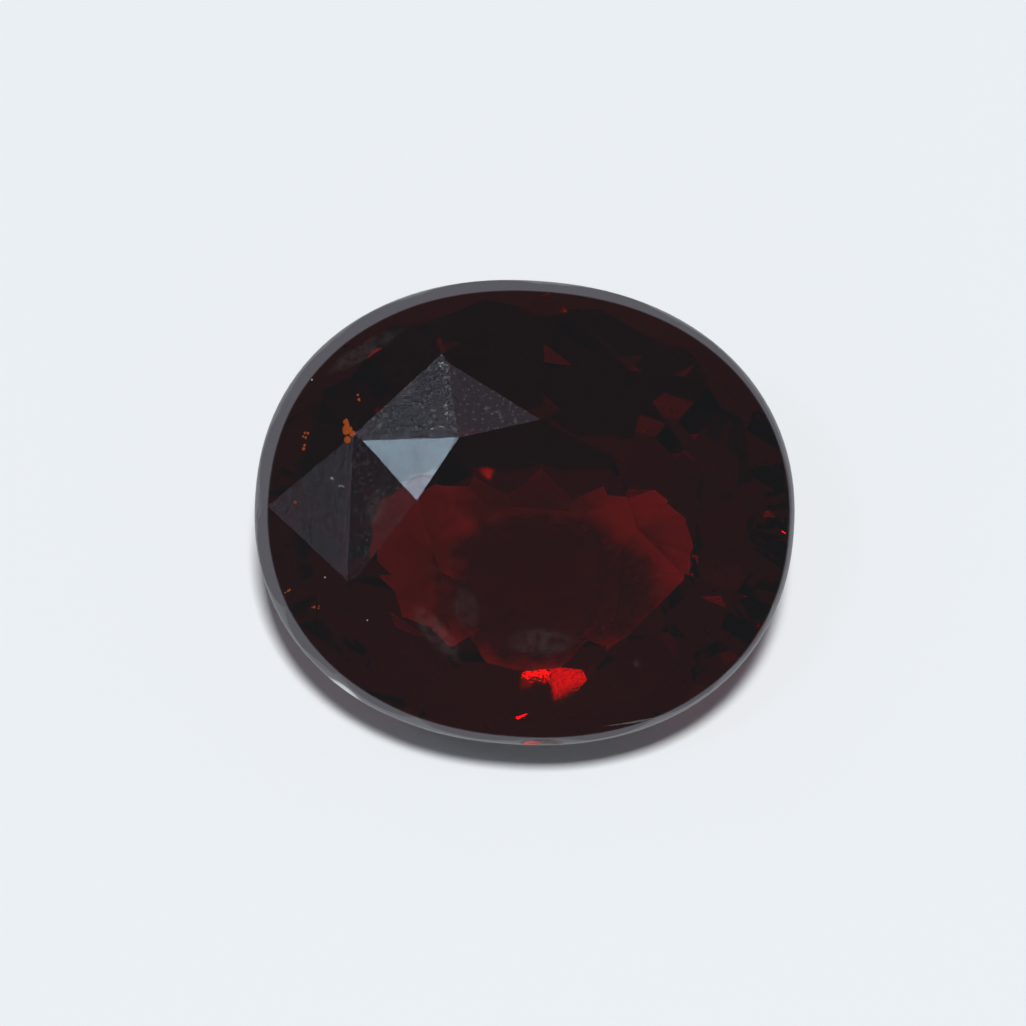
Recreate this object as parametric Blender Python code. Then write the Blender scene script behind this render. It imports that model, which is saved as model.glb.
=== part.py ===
"""A cut oval garnet, made the way a cutter makes one: a rounded preform, then one flat cut for each facet.

The stone is cut with its table facing +Z and its girdle about z = 0. It is then leaned towards -Y until
the broad facet beside its culet lies on the ground, which is how a loose stone with a flat bottom lies.
All lengths are in metres.
"""

import math

import bmesh
import bpy
from mathutils import Matrix, Vector

# The oval, seen along the stone's axis. A power of 2 is a true ellipse, and more is squarer.
STONE_LENGTH = 0.0086
STONE_WIDTH = 0.0074
OUTLINE_POWER = 2.17
OUTLINE_SIDES = 128

# The girdle is a band ground by hand, round in section, so the crown starts inside the widest line.
GIRDLE_THICKNESS = 0.00042
GIRDLE_ROUNDING = 0.00015
GIRDLE_ROWS = 8
CROWN_SHIFT = Vector((0.00007, -0.00002))

# The crown: an eight-sided table, eight stars, eight mains in two tiers and sixteen upper girdle facets.
CROWN_HEIGHT = 0.00088
TABLE_SHARE = 0.406
TABLE_TURN = -3.5
SHOULDER_HEIGHT = 0.00060
STAR_REACH = 0.86
# Where the mains, stars and girdle facets meet: degrees from the long axis, and share of the half size.
# The stone was cut by eye, so no two of these corners are quite alike.
SHOULDER_CORNERS = (
    (18.0, 0.690),
    (61.0, 0.730),
    (117.5, 0.735),
    (156.5, 0.700),
    (209.0, 0.715),
    (249.0, 0.660),
    (302.0, 0.675),
    (341.0, 0.660),
)

# The pavilion, from the girdle down: facets in each tier, bearing of the first in degrees, then slope in
# degrees and the share of the half size at which the tier ends. Both are given at the front, -Y, and at
# the back, because the stone has more belly at the front and round both ends. The last tier closes on
# the culet, which lies a little off the middle.
PAVILION_TIERS = (
    (16, -90.0, (59.6, 48.0), (0.78, 0.833)),
    (16, -78.75, (44.0, 36.5), (0.56, 0.093)),
    (16, -90.0, (28.0, 32.3), (0.0, 0.0)),
)
CULET_SHIFT = Vector((0.00024, 0.00008))
# How sharply the front figures give way to the back ones: 1 is evenly, and more keeps the belly further
# round the ends.
BACK_SHARPNESS = 3.7

# The facet that the stone lies on faces -Y and down. It is flatter than its neighbours and cuts off the
# culet, so it spreads round the point right under the stone's centre of mass. Its depth is taken below
# the girdle's middle, on the stone's axis.
LEAN = 20.0
SEAT_DEPTH = 0.0030

# Tolerances of the cuts.
ON_PLANE = 1e-8
MERGE = 3e-6

GARNET_RED = (0.19, 0.008, 0.012, 1.0)
GARNET_ROUGHNESS = 0.05
GARNET_REFRACTION = 1.77


def clear_scene():
    for item in list(bpy.data.objects):
        bpy.data.objects.remove(item, do_unlink=True)


def on_oval(bearing, inset=0.0):
    """The point of the oval in one direction, with the bearing measured on the oval drawn as a circle."""
    across = math.cos(bearing)
    along = math.sin(bearing)
    reach = (abs(across) ** OUTLINE_POWER + abs(along) ** OUTLINE_POWER) ** (-1 / OUTLINE_POWER)
    half_length = STONE_LENGTH / 2 - inset
    half_width = STONE_WIDTH / 2 - inset
    return Vector((half_length * reach * across, half_width * reach * along))


def tangent_at(bearing):
    step = 0.01
    return on_oval(bearing + step) - on_oval(bearing - step)


def girdle_edge(bearing, side):
    """A point where the girdle ends, above it for a side of 1 and below it for a side of -1."""
    edge = on_oval(bearing, GIRDLE_ROUNDING) + CROWN_SHIFT * max(side, 0)
    return edge.to_3d() + Vector((0, 0, side * GIRDLE_THICKNESS / 2))


def make_preform():
    """The stone before it has facets: an oval drum whose side swells where the girdle will be."""
    stone = bmesh.new()
    bmesh.ops.create_cone(
        stone,
        cap_ends=True,
        segments=OUTLINE_SIDES,
        radius1=1.0,
        radius2=1.0,
        depth=STONE_WIDTH,
    )
    for row in range(GIRDLE_ROWS + 1):
        height = GIRDLE_THICKNESS * (row / GIRDLE_ROWS - 0.5)
        bmesh.ops.bisect_plane(
            stone,
            geom=stone.verts[:] + stone.edges[:] + stone.faces[:],
            plane_co=(0, 0, height),
            plane_no=(0, 0, 1),
        )
    for vert in stone.verts:
        bearing = math.atan2(vert.co.y, vert.co.x)
        rise = max(-1.0, min(1.0, vert.co.z / (GIRDLE_THICKNESS / 2)))
        place = on_oval(bearing, GIRDLE_ROUNDING * rise**2) + CROWN_SHIFT * max(rise, 0)
        vert.co.xy = place
    return stone


def cut_facet(stone, first, second, third):
    """Grinds one flat facet through three points and keeps the side where the stone's middle is."""
    outward = (second - first).cross(third - first).normalized()
    if outward.dot(first) < 0:
        outward.negate()
    cut = bmesh.ops.bisect_plane(
        stone,
        geom=stone.verts[:] + stone.edges[:] + stone.faces[:],
        dist=ON_PLANE,
        plane_co=first,
        plane_no=outward,
        clear_outer=True,
    )
    rim = [item for item in cut["geom_cut"] if isinstance(item, bmesh.types.BMEdge)]
    if rim:
        bmesh.ops.contextual_create(stone, geom=rim)


def table_corner(index):
    bearing = math.radians(TABLE_TURN + 45.0 * index)
    corner = Vector((STONE_LENGTH * math.cos(bearing), STONE_WIDTH * math.sin(bearing)))
    corner = corner * TABLE_SHARE / 2 + CROWN_SHIFT
    return corner.to_3d() + Vector((0, 0, crown_level(CROWN_HEIGHT)))


def crown_level(height):
    return GIRDLE_THICKNESS / 2 + height


def shoulder_corner(index):
    degrees, share = SHOULDER_CORNERS[index % len(SHOULDER_CORNERS)]
    bearing = math.radians(degrees)
    corner = Vector((STONE_LENGTH * math.cos(bearing), STONE_WIDTH * math.sin(bearing)))
    return (corner * share / 2).to_3d() + Vector((0, 0, crown_level(SHOULDER_HEIGHT)))


def shoulder_bearing(index):
    """The bearing of a shoulder corner, running on past a full turn so that neighbours can be averaged."""
    turns, place = divmod(index, len(SHOULDER_CORNERS))
    return math.radians(SHOULDER_CORNERS[place][0] + 360.0 * turns)


def star_tip(index):
    """The outer end of a star, on the ridge between its two mains and a little short of the shoulder."""
    shoulder = shoulder_corner(index)
    before, after = table_corner(index), table_corner(index + 1)
    left = (before - shoulder).cross(shoulder_corner(index - 1) - shoulder)
    right = (after - shoulder).cross(shoulder_corner(index + 1) - shoulder)
    ridge = left.cross(right).normalized()
    if ridge.z < 0:
        ridge.negate()
    whole = (crown_level(CROWN_HEIGHT) - shoulder.z) / ridge.z
    return shoulder + ridge * whole * (1 - STAR_REACH)


def cut_crown(stone):
    count = len(SHOULDER_CORNERS)
    cut_facet(stone, table_corner(0), table_corner(3), table_corner(5))
    for index in range(count):
        main_bearing = (shoulder_bearing(index - 1) + shoulder_bearing(index)) / 2
        main_end = girdle_edge(main_bearing, 1)
        before, after = shoulder_corner(index - 1), shoulder_corner(index)
        cut_facet(stone, before, after, main_end)
        cut_facet(stone, before, after, table_corner(index))
        for corner, bearing in ((before, shoulder_bearing(index - 1)), (after, shoulder_bearing(index))):
            cut_facet(stone, corner, main_end, girdle_edge(bearing, 1))
    for index in range(count):
        cut_facet(stone, table_corner(index), table_corner(index + 1), star_tip(index))


def cut_tier_facet(stone, bearing, share, level, inner_share, inner_level):
    """Cuts a facet that runs down from one ring to the next, level along the girdle's own direction."""
    place = on_oval(bearing, GIRDLE_ROUNDING)
    outer = place * share + CULET_SHIFT * (1 - share)
    inner = place * inner_share + CULET_SHIFT * (1 - inner_share)
    top = outer.to_3d() + Vector((0, 0, level))
    bottom = inner.to_3d() + Vector((0, 0, inner_level))
    cut_facet(stone, top, top + tangent_at(bearing).to_3d(), bottom)


def at_bearing(front_and_back, bearing):
    """A value that swings from its front figure to its back one as the bearing goes round the stone."""
    front, back = front_and_back
    backness = ((1 + math.sin(bearing)) / 2) ** BACK_SHARPNESS
    return front + (back - front) * backness


def tier_profile(bearing):
    """The share and level of each tier's rim at one bearing, from the girdle to the culet."""
    share, level = 1.0, -GIRDLE_THICKNESS / 2
    half_width = STONE_WIDTH / 2 - GIRDLE_ROUNDING
    rims = [(share, level)]
    for _, _, slopes, inner_shares in PAVILION_TIERS:
        inner_share = at_bearing(inner_shares, bearing)
        slope = math.radians(at_bearing(slopes, bearing))
        level -= (share - inner_share) * half_width * math.tan(slope)
        share = inner_share
        rims.append((share, level))
    return rims


def cut_pavilion(stone):
    for tier, (count, first_bearing, _, _) in enumerate(PAVILION_TIERS):
        for index in range(count):
            bearing = math.radians(first_bearing + 360.0 * index / count)
            rims = tier_profile(bearing)
            cut_tier_facet(stone, bearing, *rims[tier], *rims[tier + 1])


def cut_seat(stone):
    """Cuts the facet that the stone lies on, across the culet."""
    lean = math.radians(LEAN)
    middle = Vector((0, 0, -SEAT_DEPTH))
    down_the_front = Vector((0, -math.cos(lean), math.sin(lean)))
    cut_facet(stone, middle, middle + Vector((1, 0, 0)), middle + down_the_front)


def tidy(stone):
    """Closes the hair-thin faces left where three or more cuts nearly meet, and drops stray edges."""
    bmesh.ops.dissolve_degenerate(stone, dist=MERGE, edges=stone.edges[:])
    stray = [edge for edge in stone.edges if not edge.link_faces]
    bmesh.ops.delete(stone, geom=stray, context="EDGES")
    bmesh.ops.recalc_face_normals(stone, faces=stone.faces[:])


def lay_down(stone):
    """Leans the stone onto its seat and puts the middle of its box over the origin, on the ground."""
    bmesh.ops.rotate(stone, verts=stone.verts[:], matrix=Matrix.Rotation(math.radians(LEAN), 3, "X"))
    low = Vector([min(vert.co[axis] for vert in stone.verts) for axis in range(3)])
    high = Vector([max(vert.co[axis] for vert in stone.verts) for axis in range(3)])
    shift = Vector((-(low.x + high.x) / 2, -(low.y + high.y) / 2, -low.z))
    bmesh.ops.translate(stone, verts=stone.verts[:], vec=shift)


def garnet_material():
    material = bpy.data.materials.new("garnet")
    material.use_nodes = True
    shader = material.node_tree.nodes["Principled BSDF"]
    shader.inputs["Base Color"].default_value = GARNET_RED
    shader.inputs["Roughness"].default_value = GARNET_ROUGHNESS
    shader.inputs["Metallic"].default_value = 0.0
    shader.inputs["IOR"].default_value = GARNET_REFRACTION
    shader.inputs["Transmission Weight"].default_value = 1.0
    return material


def make_garnet(collection):
    stone = make_preform()
    cut_crown(stone)
    cut_pavilion(stone)
    cut_seat(stone)
    tidy(stone)
    lay_down(stone)
    mesh = bpy.data.meshes.new("garnet")
    stone.to_mesh(mesh)
    stone.free()
    mesh.materials.append(garnet_material())
    garnet = bpy.data.objects.new("garnet", mesh)
    collection.objects.link(garnet)
    return garnet


def main():
    clear_scene()
    collection = bpy.data.collections.new("cut_garnet")
    bpy.context.scene.collection.children.link(collection)
    make_garnet(collection)


main()
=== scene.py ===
# %% [markdown]
# # A cut oval garnet
#
# This lesson dresses and lights one loose gemstone, 8.6 mm long, dark red and see-through.
# The stone's solid is already made: a frame file holds it at its real size, lying on the ground.
# The first cell loads it.

# %% Load the stone
import math
import random

import bmesh
import bpy
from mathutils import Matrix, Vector
from mathutils.bvhtree import BVHTree


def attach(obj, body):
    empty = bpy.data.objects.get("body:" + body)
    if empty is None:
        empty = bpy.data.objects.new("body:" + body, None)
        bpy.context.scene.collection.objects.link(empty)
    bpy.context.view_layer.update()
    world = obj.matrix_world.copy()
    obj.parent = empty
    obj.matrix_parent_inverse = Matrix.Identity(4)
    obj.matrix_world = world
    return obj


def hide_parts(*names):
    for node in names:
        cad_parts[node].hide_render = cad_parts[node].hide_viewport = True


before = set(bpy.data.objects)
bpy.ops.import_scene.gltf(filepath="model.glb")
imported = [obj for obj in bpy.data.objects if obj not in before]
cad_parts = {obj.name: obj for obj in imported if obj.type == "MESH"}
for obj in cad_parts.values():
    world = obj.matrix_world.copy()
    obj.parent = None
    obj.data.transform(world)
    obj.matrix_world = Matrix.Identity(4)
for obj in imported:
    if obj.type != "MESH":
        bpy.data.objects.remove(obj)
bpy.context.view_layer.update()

MM = 0.001
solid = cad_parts["garnet"]

# %% [markdown]
# ## The camera
#
# A gem is photographed from just above, with a long lens, so that its outline stays true.
# The stone leans 20 degrees on its seat, and the camera stands 70 degrees above the floor,
# so it looks almost straight down the stone's own axis. A long lens far away could also be an
# orthographic camera, but a real lens keeps the slight spread that glass needs to look right.

# %% Camera
CAMERA_TURN = 4.4
CAMERA_HEIGHT = 70.0
CAMERA_LENS = 200.0
SENSOR = 36.0
VIEW_WIDTH = 16.4 * MM
GIRDLE_LEVEL = 2.6 * MM
VIEW_RIGHT = -0.18 * MM
VIEW_UP = 0.07 * MM


def direction(turn, height):
    """The unit vector towards a place on the sky: turn from -Y towards +X, height above the ground."""
    turn, height = math.radians(turn), math.radians(height)
    flat = math.cos(height)
    return Vector((math.sin(turn) * flat, -math.cos(turn) * flat, math.sin(height)))


def aim(item, target, towards, distance):
    """Puts a camera or a lamp at a distance in one direction from its target, looking back at it."""
    item.location = target + towards * distance
    item.rotation_euler = towards.to_track_quat("Z", "Y").to_euler()


girdle_middle = Vector((0, 0, GIRDLE_LEVEL))
to_camera = direction(CAMERA_TURN, CAMERA_HEIGHT)
view_right = direction(CAMERA_TURN + 90, 0)
view_up = to_camera.cross(view_right)
view_middle = girdle_middle + view_right * VIEW_RIGHT + view_up * VIEW_UP

camera = bpy.data.objects.new("camera", bpy.data.cameras.new("camera"))
bpy.context.collection.objects.link(camera)
camera.data.lens = CAMERA_LENS
camera.data.sensor_width = SENSOR
camera.data.clip_start = MM
aim(camera, view_middle, to_camera, VIEW_WIDTH * CAMERA_LENS / SENSOR)
bpy.context.scene.camera = camera
print("camera distance", round((camera.location - view_middle).length / MM, 1), "mm")

# %% [markdown]
# ## Floor and room
#
# A plain pale sheet lies under the stone. It sits a hundredth of a millimetre below the
# stone's lowest facet: two surfaces in exactly one place would fight, and the seat, through
# which most of the red light enters, would come out black. The room itself is dim, because
# a dark stone shows everything bright that stands around it.

# %% Floor and room
FLOOR_SIZE = 0.6
FLOOR_GAP = 0.01 * MM
FLOOR_COLOUR = (0.79, 0.82, 0.84, 1)
ROOM_COLOUR = (0.115, 0.118, 0.130, 1)


def new_material(name):
    material = bpy.data.materials.new(name)
    material.use_nodes = True
    return material, material.node_tree.nodes["Principled BSDF"]


bpy.ops.mesh.primitive_plane_add(size=FLOOR_SIZE, location=(0, 0, -FLOOR_GAP))
floor = bpy.context.object
floor.name = "floor"
floor_material, floor_shader = new_material("pale_sheet")
floor_shader.inputs["Base Color"].default_value = FLOOR_COLOUR
floor_shader.inputs["Roughness"].default_value = 0.9
floor_shader.inputs["Specular IOR Level"].default_value = 0.0
floor.data.materials.append(floor_material)

room = bpy.data.worlds.new("room")
room.use_nodes = True
room.node_tree.nodes["Background"].inputs["Color"].default_value = ROOM_COLOUR
bpy.context.scene.world = room

# %% [markdown]
# ## Lights
#
# A lamp's brightness is what a facet shows when it mirrors it, so each lamp is set by its
# radiance and its size in degrees as the stone sees it, and its power is worked out from these.
# The key lamp is nearly overhead, which leaves only a thin shadow along the front edge.
# Small dim panels on the left are there to be mirrored: each lights up one crown facet. The
# brightest of them also shines into the stone and makes the red sparkle at the lower middle.

# %% Lights
LAMP_DISTANCE = 0.5


def lamp(name, turn, height, degrees, radiance, colour=(1, 1, 1)):
    """A square soft lamp that looks the given number of degrees wide from the stone."""
    light = bpy.data.lights.new(name, "AREA")
    light.size = 2 * LAMP_DISTANCE * math.tan(math.radians(degrees / 2))
    light.energy = radiance * math.pi * light.size**2
    light.color = colour
    item = bpy.data.objects.new(name, light)
    bpy.context.collection.objects.link(item)
    aim(item, girdle_middle, direction(turn, height), LAMP_DISTANCE)
    return item


WINDOW_BLUE = (0.60, 0.82, 1.0)
PALE_BLUE = (0.70, 0.75, 1.0)
PALE_ROSE = (0.88, 0.73, 1.0)
lamp("key", 20, 84.7, degrees=6, radiance=268)
lamp("panel_for_left_main", -72, 37, degrees=5, radiance=0.63, colour=PALE_BLUE)
lamp("panel_for_side_star", -59, 53, degrees=5, radiance=0.12, colour=PALE_BLUE)
lamp("panel_for_star", -67, 68, degrees=5, radiance=12, colour=WINDOW_BLUE)
lamp("panel_for_upper_main", -88, 69, degrees=4, radiance=1.1, colour=PALE_BLUE)
lamp("panel_for_upper_star", -102, 82, degrees=5, radiance=0.28, colour=PALE_ROSE)

# %% [markdown]
# ## The stone's visible mesh
#
# The solid is made of triangles. For the looks, the triangles of each facet are merged into
# one flat face, and the girdle, the round band at the widest place, is shaded smooth. The
# whole closed body keeps one material: two would make the light inside lose count of its
# surfaces. Every face also gets flat coordinates of its own, turned by chance, for the fine
# lines that polishing leaves, which run another way on each facet.

# %% Stone mesh
FLAT_ANGLE = math.radians(0.3)
# The girdle's faces are small and lie within half its thickness of its middle.
GIRDLE_FACE_AREA = 0.06 * MM**2
GIRDLE_HALF = 0.215 * MM
POLISH_SEED = 7


def merged_facets(source):
    """The solid's mesh with the triangles of each flat facet joined into one face."""
    stone = bmesh.new()
    stone.from_mesh(source.data)
    bmesh.ops.remove_doubles(stone, verts=stone.verts[:], dist=1e-7)
    bmesh.ops.dissolve_limit(
        stone,
        angle_limit=FLAT_ANGLE,
        verts=stone.verts[:],
        edges=stone.edges[:],
    )
    return stone


def smooth_girdle(stone, axis):
    """Shades the girdle's small faces smooth, and returns the level of the girdle's middle."""
    level = min(stone.verts, key=lambda vert: vert.co.x).co.dot(axis)
    for face in stone.faces:
        near = all(abs(vert.co.dot(axis) - level) < GIRDLE_HALF for vert in face.verts)
        face.smooth = near and face.calc_area() < GIRDLE_FACE_AREA
    for edge in stone.edges:
        edge.smooth = all(face.smooth for face in edge.link_faces)
    return level


def lay_polish_lines(stone):
    """Gives each face flat coordinates in millimetres, turned by a chance angle of its own."""
    chance = random.Random(POLISH_SEED)
    flat = stone.loops.layers.uv.new("polish")
    for face in stone.faces:
        side = face.normal.orthogonal().normalized()
        other = face.normal.cross(side)
        turn = chance.uniform(0, math.pi)
        along = side * math.cos(turn) + other * math.sin(turn)
        across = face.normal.cross(along)
        for loop in face.loops:
            loop[flat].uv = (loop.vert.co.dot(along) / MM, loop.vert.co.dot(across) / MM)


def piece(name, mesh):
    """A new object that belongs to the stone."""
    item = bpy.data.objects.new(name, mesh)
    bpy.context.collection.objects.link(item)
    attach(item, "root")
    return item


shape = merged_facets(solid)
table = max((face for face in shape.faces if face.normal.z > 0.5), key=lambda face: face.calc_area())
stone_axis = table.normal.copy()
girdle_level = smooth_girdle(shape, stone_axis)
lay_polish_lines(shape)
stone_mesh = bpy.data.meshes.new("garnet_stone")
shape.to_mesh(stone_mesh)
shape.free()
stone = piece("garnet_stone", stone_mesh)
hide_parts("garnet")
facets = [face for face in stone_mesh.polygons if not face.use_smooth]
print("facets", len(facets), "girdle faces", len(stone_mesh.polygons) - len(facets))

# %% [markdown]
# ## Finding a place on the stone
#
# Flecks and smears are placed as the camera sees them, in millimetres from the middle of the
# view. For a fleck, a ray from the camera finds the point of the stone behind that place, so
# the fleck lies on a facet and stays there when it is seen from any other side.
#
# The same ray picks the facets with a coarse polish. Facets are polished one by one, and a
# few on one side still carry the grain of a coarser plate, while the rest are like mirrors.
# One more on the underside, picked by a ray from below, breaks the red sparkle into specks.

# %% Places as seen, and the coarse facets
# Right and up of the view's middle in mm, how deep the grain of the facet there is, and how
# satin. The facet on the underside has no satin.
COARSE_FACETS = (
    (-3.02, 0.13, 4.0, 1.0),
    (-2.30, 0.13, 3.0, 0.6),
    (-1.58, 0.88, 5.0, 1.2),
    (-1.58, 1.73, 4.0, 1.0),
    (-0.50, 1.71, 1.5, 0.3),
)
COARSE_BELOW = (0.65, -2.08, 2.0)
BELOW = 10.0 * MM

surface = BVHTree.FromPolygons(
    [vert.co for vert in stone_mesh.vertices],
    [face.vertices[:] for face in stone_mesh.polygons],
)


def spot(right, up):
    """The point of the view's middle plane at a place in the view."""
    return view_middle + (view_right * right + view_up * up) * MM


def seen(right, up):
    """What a ray from the camera meets first: the point, the way out there, and the face's number."""
    return surface.ray_cast(camera.location, (spot(right, up) - camera.location).normalized())[:3]


def seen_from_below(right, up):
    """The number of the lowest face in line with a place in the view."""
    return surface.ray_cast(spot(right, up) - to_camera * BELOW, to_camera)[2]


coarseness = stone_mesh.attributes.new("coarse", "FLOAT", "FACE")
satin = stone_mesh.attributes.new("satin", "FLOAT", "FACE")
for right, up, depth, sheen in COARSE_FACETS:
    number = seen(right, up)[2]
    coarseness.data[number].value = depth
    satin.data[number].value = sheen
right, up, depth = COARSE_BELOW
coarseness.data[seen_from_below(right, up)].value = depth
print("coarse facets", sum(entry.value > 0 for entry in coarseness.data))

# %% [markdown]
# ## Node helpers
#
# Small functions keep the node trees readable. Each adds one node and returns its output,
# and a value given to them may be a number or the output of another node. Noise is always
# laid in real millimetres, so that a grain has the same size on every facet.

# %% Node helpers
def node(tree, kind, **values):
    made = tree.nodes.new(kind)
    for name, value in values.items():
        setattr(made, name, value)
    return made


def put(tree, socket, value):
    """Sets a socket to a number or a vector, or links it to another socket."""
    if isinstance(value, bpy.types.NodeSocket):
        tree.links.new(value, socket)
    else:
        socket.default_value = value


def maths(tree, operation, *values):
    made = node(tree, "ShaderNodeMath", operation=operation)
    for socket, value in zip(made.inputs, values):
        put(tree, socket, value)
    return made.outputs[0]


def vectors(tree, operation, *values, output=0):
    made = node(tree, "ShaderNodeVectorMath", operation=operation)
    for socket, value in zip(made.inputs, values):
        put(tree, socket, value)
    return made.outputs[output]


def noise(tree, vector, scale, detail=2.0, roughness=0.5):
    made = node(tree, "ShaderNodeTexNoise")
    made.inputs["Scale"].default_value = scale
    made.inputs["Detail"].default_value = detail
    made.inputs["Roughness"].default_value = roughness
    tree.links.new(vector, made.inputs["Vector"])
    return made.outputs["Fac"]


def ramp(tree, value, low, high):
    """Maps low to 0 and high to 1, smoothly."""
    made = node(tree, "ShaderNodeMapRange", interpolation_type="SMOOTHSTEP")
    made.inputs["From Min"].default_value = low
    made.inputs["From Max"].default_value = high
    tree.links.new(value, made.inputs["Value"])
    return made.outputs[0]


def place_in_mm(tree):
    """The object's own coordinates in millimetres."""
    return vectors(tree, "MULTIPLY", node(tree, "ShaderNodeTexCoord").outputs["Object"], (1 / MM,) * 3)


def new_group(name, inputs, output):
    """An empty node group with its sockets, its input node and its output socket."""
    group = bpy.data.node_groups.new(name, "ShaderNodeTree")
    for label, kind in inputs:
        group.interface.new_socket(label, in_out="INPUT", socket_type=kind)
    group.interface.new_socket(output, in_out="OUTPUT", socket_type="NodeSocketFloat")
    given = node(group, "NodeGroupInput")
    result = node(group, "NodeGroupOutput")
    return group, given.outputs, result.inputs[output]


# %% [markdown]
# ## A soft oval
#
# Smears, the film and the worn places of the girdle all have the same kind of outline: an
# oval with a soft edge that noise frays. It is one node group, built once, and each use only
# says where it lies. It could be a painted mask, but an oval in millimetres stays sharp at any
# size. It is laid in the plane of the view, where the marks can be measured, and reaches
# straight through the stone, so a smear on the crown has a faint twin on the underside.

# %% Soft oval
FRAYS_PER_MM = 2.5
# The squared distance from the oval's middle, in half sizes, at which the mask is 0 and 1.
OVAL_OUTSIDE = 1.2
OVAL_INSIDE = 0.25


def oval_group():
    """Along and Across point along the oval's axes, each as long as one over its half size."""
    inputs = [(label, "NodeSocketVector") for label in ("Place", "Middle", "Along", "Across")]
    inputs.append(("Fray", "NodeSocketFloat"))
    group, given, mask = new_group("soft_oval", inputs, "Mask")
    offset = vectors(group, "SUBTRACT", given["Place"], given["Middle"])
    squares = []
    for way in ("Along", "Across"):
        dot = vectors(group, "DOT_PRODUCT", offset, given[way], output="Value")
        squares.append(maths(group, "MULTIPLY", dot, dot))
    wave = noise(group, given["Place"], FRAYS_PER_MM, detail=1.5)
    fray = maths(group, "MULTIPLY", maths(group, "SUBTRACT", wave, 0.5), given["Fray"])
    spread = maths(group, "ADD", maths(group, "ADD", *squares), fray)
    group.links.new(ramp(group, spread, OVAL_OUTSIDE, OVAL_INSIDE), mask)
    return group


soft_oval = oval_group()


def oval(tree, place, right, up, half_length, half_width, turn, fray, strength):
    """A soft oval mask of one strength, round a place in the view."""
    turn = math.radians(turn)
    along = view_right * math.cos(turn) + view_up * math.sin(turn)
    made = node(tree, "ShaderNodeGroup", node_tree=soft_oval)
    put(tree, made.inputs["Place"], place)
    put(tree, made.inputs["Middle"], spot(right, up) / MM)
    put(tree, made.inputs["Along"], along / half_length)
    put(tree, made.inputs["Across"], to_camera.cross(along) / half_width)
    put(tree, made.inputs["Fray"], fray)
    return maths(tree, "MULTIPLY", made.outputs["Mask"], strength)


def strongest(tree, masks):
    result = masks[0]
    for other in masks[1:]:
        result = maths(tree, "MAXIMUM", result, other)
    return result


print("soft oval sockets", len(soft_oval.interface.items_tree))

# %% [markdown]
# ## Polish marks
#
# A facet is ground flat on a turning plate, and close up it is never quite smooth. It has a
# fine uneven grain and long hair lines. Both are heights for a bump, built once as a node
# group: the grain from plain noise, the hair lines from noise stretched along one direction.

# %% Polish group
GRAINS_PER_MM = 14.0
HAIR_STRETCH = (1.2, 60.0, 1.0)
HAIR_SHARE = 0.12


def polish_group():
    inputs = (("Place", "NodeSocketVector"), ("Lines", "NodeSocketVector"), ("Amount", "NodeSocketFloat"))
    group, given, height = new_group("polish_marks", inputs, "Height")
    grain = noise(group, given["Place"], GRAINS_PER_MM, detail=3.0, roughness=0.6)
    lines = vectors(group, "MULTIPLY", given["Lines"], HAIR_STRETCH)
    hairs = ramp(group, noise(group, lines, 1.0, detail=2.0), 0.60, 0.72)
    both = maths(group, "ADD", grain, maths(group, "MULTIPLY", hairs, HAIR_SHARE))
    group.links.new(maths(group, "MULTIPLY", both, given["Amount"]), height)
    return group


polish_marks = polish_group()
print("polish group sockets", len(polish_marks.interface.items_tree))

# %% [markdown]
# ## Garnet
#
# Garnet bends light more than window glass does, with an index of 1.77, and it swallows most
# green and blue within a millimetre. That is set as plain absorption inside the stone, not as
# a surface colour, so thin places glow red and thick ones go black.
# Smears of skin grease and polishing wax lie on a few facets, with fine dust on the satin
# ones. They are a thin coat with a rough surface: its weight is a mask, its roughness a number.

# %% Garnet material
GARNET_INDEX = 1.77
ABSORB_COLOUR = (0.836, 0.05, 0.12, 1)
ABSORB_DENSITY = 1400.0
SMEAR_ROUGHNESS = 0.5
SATIN_ROUGHNESS = 0.13
BUMP_HEIGHT = 0.0005 * MM
DUST_PER_MM = 17.0
DUST_STRENGTH = 1.0
PATCHES_PER_MM = 9.0
SMEARS = (
    # Right and up of the view's middle, half length and half width, turn, fray, strength.
    (0.43, -2.03, 0.56, 0.24, 0, 0.2, 0.85),
    (-1.22, -1.90, 0.62, 0.19, -50, 0.8, 1.0),
    (-0.74, -1.50, 0.34, 0.22, 100, 0.6, 0.45),
    (-2.38, 2.57, 0.75, 0.13, 30, 1.2, 0.90),
    (-2.15, 0.12, 0.32, 0.17, 75, 0.8, 0.55),
    (1.97, -2.38, 0.09, 0.07, 0, 0.4, 0.60),
)

garnet, shader = new_material("garnet_crystal")
tree = garnet.node_tree
shader.inputs["Base Color"].default_value = (1, 1, 1, 1)
shader.inputs["IOR"].default_value = GARNET_INDEX
shader.inputs["Transmission Weight"].default_value = 1.0
shader.inputs["Coat Roughness"].default_value = SMEAR_ROUGHNESS

place = place_in_mm(tree)
coarse = node(tree, "ShaderNodeAttribute", attribute_name="coarse").outputs["Fac"]
satin_mask = node(tree, "ShaderNodeAttribute", attribute_name="satin").outputs["Fac"]
tree.links.new(maths(tree, "MULTIPLY", satin_mask, SATIN_ROUGHNESS), shader.inputs["Roughness"])
smears = strongest(tree, [oval(tree, place, *values) for values in SMEARS])
patchy = ramp(tree, noise(tree, place, PATCHES_PER_MM, detail=4.0), 0.25, 0.70)
specks = ramp(tree, noise(tree, place, DUST_PER_MM, detail=2.0), 0.56, 0.70)
dust = maths(tree, "MULTIPLY", maths(tree, "MULTIPLY", specks, satin_mask), DUST_STRENGTH)
coat = maths(tree, "MAXIMUM", maths(tree, "MULTIPLY", smears, patchy), dust)
tree.links.new(coat, shader.inputs["Coat Weight"])

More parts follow.
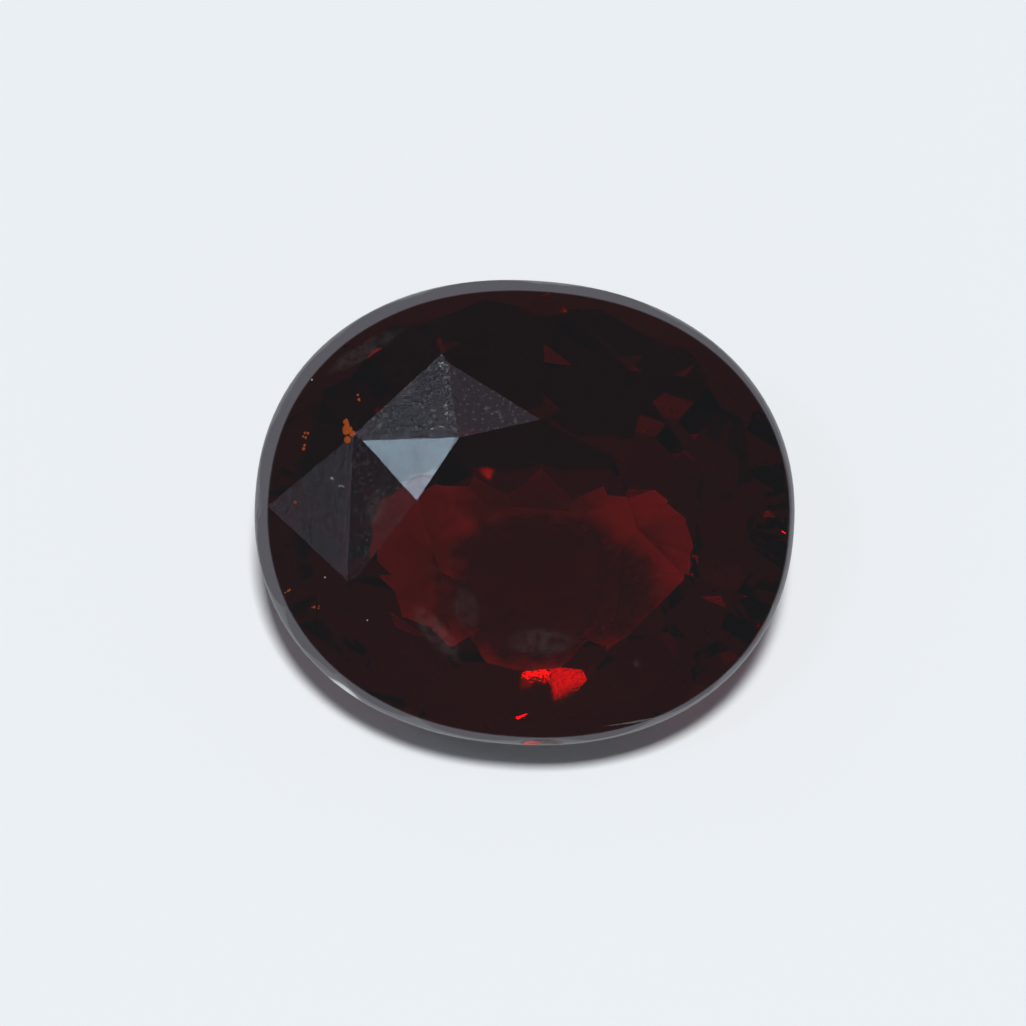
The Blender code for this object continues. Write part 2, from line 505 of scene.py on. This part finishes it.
marks = node(tree, "ShaderNodeGroup", node_tree=polish_marks)
tree.links.new(place, marks.inputs["Place"])
tree.links.new(node(tree, "ShaderNodeUVMap", uv_map="polish").outputs["UV"], marks.inputs["Lines"])
tree.links.new(coarse, marks.inputs["Amount"])
bump = node(tree, "ShaderNodeBump")
bump.inputs["Distance"].default_value = BUMP_HEIGHT
tree.links.new(marks.outputs["Height"], bump.inputs["Height"])
tree.links.new(bump.outputs["Normal"], shader.inputs["Normal"])

absorption = node(tree, "ShaderNodeVolumeAbsorption")
absorption.inputs["Color"].default_value = ABSORB_COLOUR
absorption.inputs["Density"].default_value = ABSORB_DENSITY
tree.links.new(absorption.outputs[0], tree.nodes["Material Output"].inputs["Volume"])
stone_mesh.materials.append(garnet)

# %% [markdown]
# ## Skins on the stone
#
# Two skins hide the glass behind them, which a clear body can't do with its one material.
# They lie on it as thin skins: the ground surface of the girdle, and a dark sheet of painted
# shade under it.
# A skin is a copy of the faces that it covers, lifted off by a few thousandths of a
# millimetre, and its material fades it out where it ends. Copying the faces keeps the skin
# clear of the ridges, which a freely drawn sheet would cut through.

# %% Skins
def skin(name, gap, keep, levels=()):
    """A copy of the stone's faces that keep() accepts, cut first at levels along the stone's axis."""
    sheet = bmesh.new()
    sheet.from_mesh(stone_mesh)
    for level in levels:
        bmesh.ops.bisect_plane(
            sheet,
            geom=sheet.verts[:] + sheet.edges[:] + sheet.faces[:],
            plane_co=stone_axis * level,
            plane_no=stone_axis,
        )
    unwanted = [face for face in sheet.faces if not keep(face)]
    bmesh.ops.delete(sheet, geom=unwanted, context="FACES")
    sheet.normal_update()
    for vert in sheet.verts:
        vert.co += vert.normal * gap
    mesh = bpy.data.meshes.new(name)
    sheet.to_mesh(mesh)
    sheet.free()
    print(name, len(mesh.polygons), "faces")
    return piece(name, mesh)


# %% [markdown]
# ## The ground girdle
#
# The girdle was ground round by hand and never polished, so it is a satin grey band that
# hides the glass behind it. Its inner edge is a smooth oval, not quite in the middle of the
# stone, so the band is wide on the left and thin on the right. At the outline, where it is
# seen edge on, it mirrors the pale sheet and grows lighter. At the front a thin place lets
# some red light through, and at the front left a short stretch has a painted highlight: its
# colour is almost white.

# %% Ground girdle
BAND_LEVELS = (-0.215 * MM, 0.330 * MM)
BAND_POWER = 2.17
BAND_INSET = 0.15
BAND_SHIFT = (0.07, -0.02)
BAND_SOFTNESS = 0.01
GIRDLE_GAP = 0.002 * MM
GIRDLE_GREY = (0.095, 0.091, 0.103, 1)
# A painted highlight: the near-white colour of a short stretch of the band at the front left.
PAINTED_HIGHLIGHT_WHITE = (0.80, 0.80, 0.82, 1)
GIRDLE_ROUGHNESS = 0.32
THIN_PLACE = (0.45, -3.66, 0.35, 0.07, 0, 0.3, 0.7)
PAINTED_HIGHLIGHT_PLACE = (-2.69, -2.84, 0.36, 0.075, -37, 0.5, 1.0)

band_levels = [girdle_level + offset for offset in BAND_LEVELS]


def on_band(face):
    return band_levels[0] < face.calc_center_median().dot(stone_axis) < band_levels[1]


def outside_oval(tree, place):
    """1 outside the oval where the crown's polish begins, seen along the stone's axis, and 0 inside."""
    along = Vector((1, 0, 0))
    measures = []
    for way, shift in zip((along, stone_axis.cross(along)), BAND_SHIFT):
        spots = [vert.co.dot(way) / MM for vert in stone_mesh.vertices]
        middle = (max(spots) + min(spots)) / 2 + shift
        half = (max(spots) - min(spots)) / 2 - BAND_INSET
        offset = maths(tree, "SUBTRACT", vectors(tree, "DOT_PRODUCT", place, way, output="Value"), middle)
        share = maths(tree, "ABSOLUTE", maths(tree, "DIVIDE", offset, half))
        measures.append(maths(tree, "POWER", share, BAND_POWER))
    return ramp(tree, maths(tree, "ADD", *measures), 1 - BAND_SOFTNESS, 1 + BAND_SOFTNESS)


belt = skin("girdle_skin", GIRDLE_GAP, on_band, band_levels)
ground, ground_shader = new_material("ground_girdle")
ground_tree = ground.node_tree
ground_place = place_in_mm(ground_tree)
ground_shader.inputs["Roughness"].default_value = GIRDLE_ROUGHNESS
ground_shader.inputs["IOR"].default_value = GARNET_INDEX
# This mix paints a highlight: near-white in an oval at the front left, grey elsewhere.
# A mix of colours has them in its sockets 6 and 7, and its result in output 2.
painted_highlight = node(ground_tree, "ShaderNodeMix", data_type="RGBA")
put(ground_tree, painted_highlight.inputs["Factor"], oval(ground_tree, ground_place, *PAINTED_HIGHLIGHT_PLACE))
painted_highlight.inputs[6].default_value = GIRDLE_GREY
painted_highlight.inputs[7].default_value = PAINTED_HIGHLIGHT_WHITE
ground_tree.links.new(painted_highlight.outputs[2], ground_shader.inputs["Base Color"])
thinned = maths(ground_tree, "SUBTRACT", 1.0, oval(ground_tree, ground_place, *THIN_PLACE))
covered = maths(ground_tree, "MULTIPLY", outside_oval(ground_tree, ground_place), thinned)
ground_tree.links.new(covered, ground_shader.inputs["Alpha"])
belt.data.materials.append(ground)

# %% [markdown]
# ## The dark sheet of painted shade under the stone
#
# The middle of the red window is cloudy and much darker than the ring round it. A dark sheet
# on the pavilion paints that shade: it takes away the pale floor that the window would show.
# It is thick in the middle, thin to the left and behind, and frayed at its rim. A second patch
# of painted shade covers the front of the pavilion. The upper half of the view looks out
# through that side after turning inside the stone, and the patch makes it black. All of the
# sheet is a guess: the underside is hidden, and a deeper or a darker stone would go black too.

# %% Painted shade sheet
SHADE_SHEET_GAP = 0.004 * MM
SHADE_SHEET_SLOPE = math.cos(math.radians(70.0))
# Painted shade: a dark grey sheet under the pavilion darkens the window's middle and the upper half.
SHADE_SHEET_COLOUR = (0.15, 0.14, 0.14, 1)
SHADE_SHEET_OVALS = (
    # Right and up of the view's middle, half length and half width, turn, fray, strength.
    (0.43, -0.90, 1.62, 1.08, 0, 0.8, 0.97),
    (-1.95, -0.60, 1.40, 1.60, 0, 1.0, 0.42),
    (0.20, 0.25, 1.30, 0.60, 0, 1.0, 0.50),
    (0.10, -3.20, 2.70, 0.85, 0, 0.5, 1.00),
)


def low_on_pavilion(face):
    return face.normal.dot(stone_axis) < -SHADE_SHEET_SLOPE


# This sheet is painted shade, dark where its ovals are strong.
shade_sheet = skin("painted_shade_sheet", SHADE_SHEET_GAP, low_on_pavilion)
shade_material, shade_shader = new_material("painted_shade")
shade_shader.inputs["Base Color"].default_value = SHADE_SHEET_COLOUR
shade_shader.inputs["Roughness"].default_value = 0.9
shade_shader.inputs["Specular IOR Level"].default_value = 0.0
shade_tree = shade_material.node_tree
shade_place = place_in_mm(shade_tree)
shade_amount = strongest(shade_tree, [oval(shade_tree, shade_place, *values) for values in SHADE_SHEET_OVALS])
shade_tree.links.new(shade_amount, shade_shader.inputs["Alpha"])
shade_sheet.data.materials.append(shade_material)

# %% [markdown]
# ## Flecks
#
# The orange flecks are painted glints: orange lumps stand in for sparkles of light that has
# run through the garnet. The pale flecks are a little dust on the stone. Each fleck is a small
# flattened lump half sunk in the surface. The larger ones are knots of a few grains, scattered
# round one place by a seeded chance, so that they fall the same way each time.

# %% Flecks
GRAIN_SEED = 3
FLATNESS = 0.4
# Painted glints: a bright orange for the flecks that stand in for sparkles of light.
GLINT_ORANGE = (0.25, 0.045, 0.004, 1)
DUST_GREY = (0.30, 0.28, 0.27, 1)
GRAIN_ROUGHNESS = 0.6
# Right and up of the view's middle, reach of the knot to the side and up, grain size, how many.
ORANGE_GLINT_KNOTS = (
    (-2.62, 1.28, 0.07, 0.12, 0.13, 9),
    (-2.68, 1.44, 0.03, 0.05, 0.09, 3),
    (-2.47, 1.84, 0.02, 0.05, 0.06, 3),
    (-3.34, 1.24, 0.07, 0.05, 0.05, 4),
    (-3.36, 1.05, 0.03, 0.04, 0.06, 3),
    (-3.15, -1.52, 0.07, 0.03, 0.05, 4),
    (-3.62, -1.23, 0.05, 0.05, 0.04, 3),
    (-3.47, 0.19, 0.02, 0.03, 0.05, 2),
)
PALE_KNOTS = (
    (-3.21, 2.13, 0.01, 0.01, 0.05, 1),
    (-2.88, 0.53, 0.03, 0.03, 0.035, 3),
    (-2.74, 0.42, 0.05, 0.04, 0.025, 3),
    (-1.14, 2.38, 0.05, 0.03, 0.03, 4),
    (-1.07, 1.62, 0.03, 0.12, 0.025, 6),
    (-1.42, 1.36, 0.32, 0.03, 0.018, 12),
    (-2.32, -1.71, 0.01, 0.01, 0.04, 1),
    (-3.02, -1.02, 0.02, 0.02, 0.03, 2),
)


def sunk_grain(mesh, point, normal, size):
    """A lump pressed flat along the surface's normal, with its middle just below the surface."""
    lump = bmesh.ops.create_icosphere(mesh, subdivisions=2, radius=size * MM / 2)
    for vert in lump["verts"]:
        along = vert.co.dot(normal)
        vert.co -= normal * along * (1 - FLATNESS)
        vert.co += point - normal * size * MM * FLATNESS / 4


def grains(name, knots, colour):
    chance = random.Random(GRAIN_SEED)
    mesh = bmesh.new()
    for right, up, side_reach, up_reach, size, count in knots:
        for _ in range(count):
            spot_right = right + chance.uniform(-side_reach, side_reach)
            spot_up = up + chance.uniform(-up_reach, up_reach)
            point, normal, _ = seen(spot_right, spot_up)
            sunk_grain(mesh, point, normal, size * chance.uniform(0.5, 1.1))
    data = bpy.data.meshes.new(name)
    mesh.to_mesh(data)
    mesh.free()
    material, grain_shader = new_material(name)
    grain_shader.inputs["Base Color"].default_value = colour
    grain_shader.inputs["Roughness"].default_value = GRAIN_ROUGHNESS
    grain_shader.inputs["Specular IOR Level"].default_value = 0.2
    data.materials.append(material)
    print(name, len(data.polygons), "faces")
    return piece(name, data)


# The orange flecks are painted glints; the pale ones are dust.
grains("orange_glint_grains", ORANGE_GLINT_KNOTS, GLINT_ORANGE)
grains("pale_grains", PALE_KNOTS, DUST_GREY)

# %% [markdown]
# ## Counting the light's bounces
#
# Light turns many times inside a faceted stone before it leaves. With Blender's usual limit
# it would be cut off too soon, and whole facets would go black. The plain "Standard" view
# keeps the deep red that the film-like one would wash out.

# %% Light paths
INSIDE_TURNS = 24
scene = bpy.context.scene
scene.view_settings.view_transform = "Standard"
scene.cycles.max_bounces = INSIDE_TURNS
scene.cycles.transmission_bounces = INSIDE_TURNS
scene.cycles.glossy_bounces = INSIDE_TURNS
